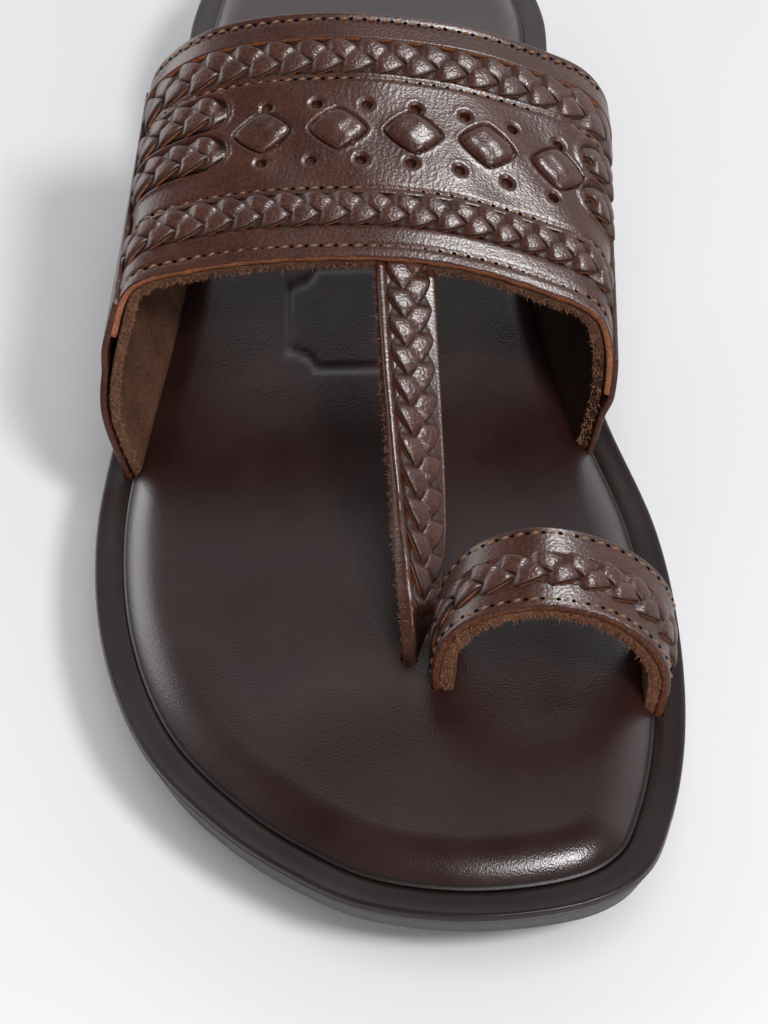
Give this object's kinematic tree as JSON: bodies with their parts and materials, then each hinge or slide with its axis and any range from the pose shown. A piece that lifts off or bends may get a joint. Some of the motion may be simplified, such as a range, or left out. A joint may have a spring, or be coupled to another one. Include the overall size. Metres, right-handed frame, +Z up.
{
  "type": "kolhapuri sandal",
  "caption": "Right open-toe leather sandal with a plaited instep band, a centre strap, a big-toe loop and a cushioned footbed in a rimmed sole.",
  "frame": {"origin": "centre of the sandal's box in X and Y, on the ground plane under the sole", "axes": "+Y from toe to heel, +X towards the big toe's side, +Z up"},
  "size_m": [0.1, 0.286, 0.0648],
  "materials": {
    "sole": "matt moulded, with a fine line on the rim",
    "footbed": "smooth semi-gloss with a fine pebble grain",
    "lining": "suede, with fuzzy cut edges",
    "strap": "oiled full grain, with raw orange-tan edges",
    "plait": "polished narrow strips, plaited flat"
  },
  "bodies": {
    "root": {"outsole": "sole", "footbed": "footbed", "upper": "lining", "toe_loop": "strap", "instep_panel": "strap", "ear_lateral": "strap", "ear_medial": "strap", "plait_front": "plait", "plait_rear": "plait", "plait_side_1": "plait", "plait_side_2": "plait", "plait_side_3": "plait", "plait_side_4": "plait", "plait_thong": "plait", "plait_toe_loop": "plait", "lozenge_1": "plait", "lozenge_2": "plait", "lozenge_3": "plait", "lozenge_4": "plait", "lozenge_5": "plait"}
  },
  "joints": []
}
